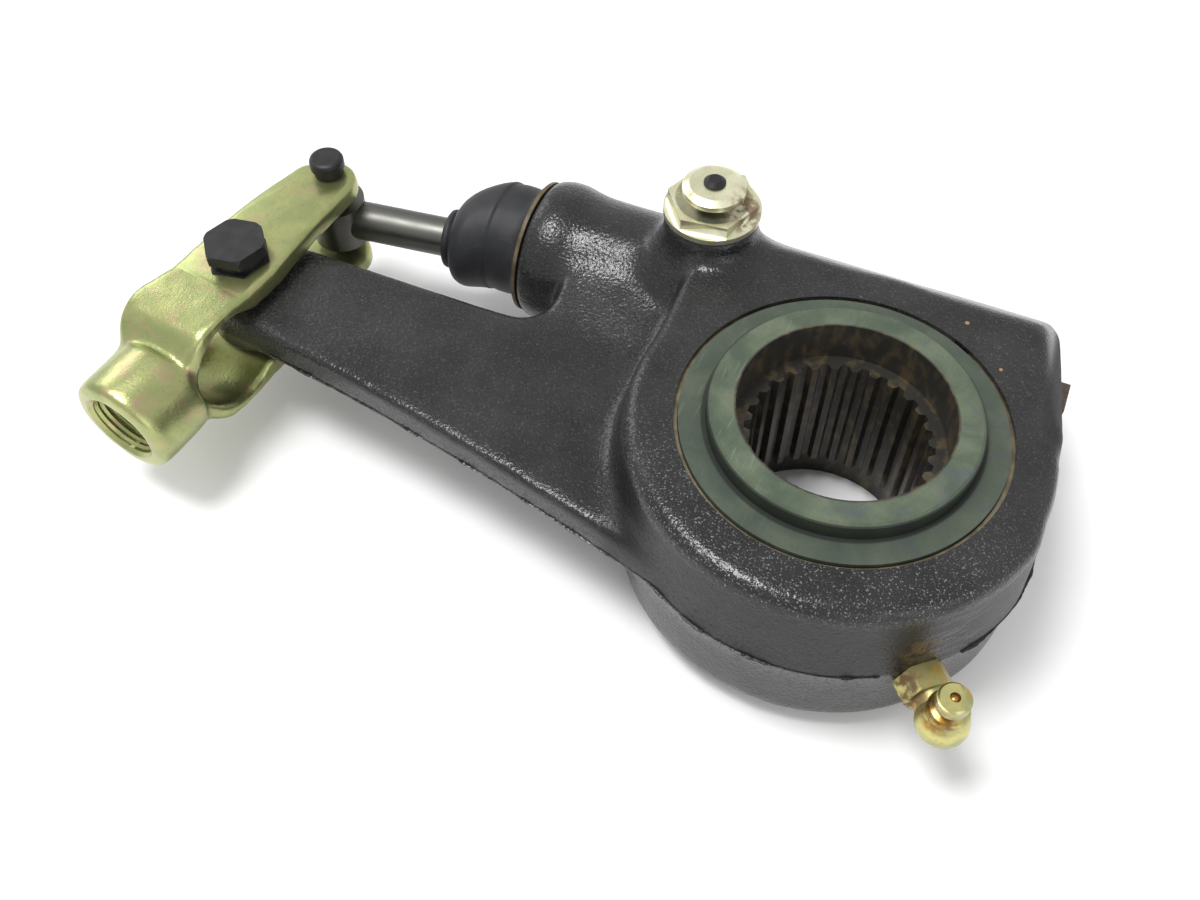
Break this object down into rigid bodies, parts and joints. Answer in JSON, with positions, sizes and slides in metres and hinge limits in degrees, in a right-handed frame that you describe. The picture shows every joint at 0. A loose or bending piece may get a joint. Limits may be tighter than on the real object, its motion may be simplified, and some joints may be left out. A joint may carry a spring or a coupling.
{
  "type": "brake slack adjuster",
  "caption": "Automatic slack adjuster for an air drum brake: a cast arm with a splined worm gear, a worm and ratchet set, a pull pawl, and a clevis whose rod drives the ratchet.",
  "frame": {"origin": "on the worm gear's axis, at the casting's parting plane in the middle of the camshaft spline", "axes": "+Z along the gear axis towards the retaining ring, +X along the worm away from the clevis, +Y from the gear to the worm"},
  "size_m": [0.2019, 0.1058, 0.0619],
  "materials": {
    "casting": "satin black paint over a rough cast skin",
    "phosphate": "olive phosphate, machined",
    "spring_steel": "bare spring steel",
    "dark_steel": "oiled dark steel",
    "black_steel": "matte black oxide",
    "yellow_zinc": "yellow zinc with a faint iridescence",
    "pale_zinc": "pale yellow zinc",
    "rubber": "satin black rubber",
    "tan_ring": "dull tan metal",
    "bronze": "plain bronze",
    "fibre": "brown fibre"
  },
  "bodies": {
    "housing": {"housing": "casting", "arm_bushing": "bronze", "gear_thrust_washer": "phosphate", "gear_retaining_ring": "spring_steel", "front_gear_seal": "rubber", "rear_gear_seal": "rubber", "worm_seal": "rubber", "boot": "rubber", "boot_ring": "tan_ring", "pawl_plug": "pale_zinc", "pawl_gasket": "fibre", "pawl_spring": "spring_steel", "grease_fitting": "pale_zinc", "grease_spring": "spring_steel"},
    "gear": {"worm_gear": "phosphate"},
    "worm": {"worm": "dark_steel"},
    "sleeve": {"ratchet_sleeve": "dark_steel", "piston_ring": "spring_steel"},
    "piston": {"piston": "dark_steel", "piston_pin": "dark_steel"},
    "rod": {"actuator_rod": "dark_steel"},
    "clevis": {"clevis": "yellow_zinc", "large_pin": "black_steel", "large_pin_clip": "spring_steel", "small_pin": "black_steel", "small_pin_clip": "spring_steel"},
    "pawl": {"pawl": "dark_steel", "pull_button": "pale_zinc"},
    "grease_ball": {"grease_ball": "bronze"}
  },
  "joints": [
    {"name": "gear_spin", "type": "hinge", "parent": "housing", "child": "gear", "pos_m": [0, 0, 0], "axis": [0, 0, 1], "continuous": true},
    {"name": "worm_spin", "type": "hinge", "parent": "housing", "child": "worm", "pos_m": [0, 0.0394, 0], "axis": [1, 0, 0], "continuous": true},
    {"name": "clevis_pivot", "type": "hinge", "parent": "housing", "child": "clevis", "pos_m": [-0.13966, -0.00329, 0], "axis": [0, 0, 1], "range_deg": [-4, 22], "deforming": ["boot"]},
    {"name": "rod_pivot", "type": "hinge", "parent": "clevis", "child": "rod", "pos_m": [-0.13566, 0.02926, 0], "axis": [0, 0, 1], "range_deg": [-23, 5]},
    {"name": "piston_slide", "type": "slide", "parent": "housing", "child": "piston", "axis": [1, 0, 0], "range_m": [-0.013, 0.0024]},
    {"name": "sleeve_slide", "type": "slide", "parent": "worm", "child": "sleeve", "axis": [1, 0, 0], "range_m": [-0.013, 0.0024]},
    {"name": "pawl_pull", "type": "slide", "parent": "housing", "child": "pawl", "axis": [0, 0, 1], "range_m": [0, 0.0016], "stiffness_N_per_m": 1500, "springref_m": -0.002, "deforming": ["pawl_spring"]},
    {"name": "grease_ball_press", "type": "slide", "parent": "housing", "child": "grease_ball", "axis": [0, 0, -1], "range_m": [0, 0.0008], "stiffness_N_per_m": 400, "springref_m": -0.001, "deforming": ["grease_spring"]}
  ],
  "couplings": [
    {"joint": "worm_spin", "follows": "gear_spin", "ratio": 24},
    {"joint": "rod_pivot", "follows": "clevis_pivot", "ratio": -1},
    {"joint": "piston_slide", "follows": "clevis_pivot", "m_per_rad": -0.0325},
    {"joint": "sleeve_slide", "follows": "clevis_pivot", "m_per_rad": -0.0325}
  ]
}
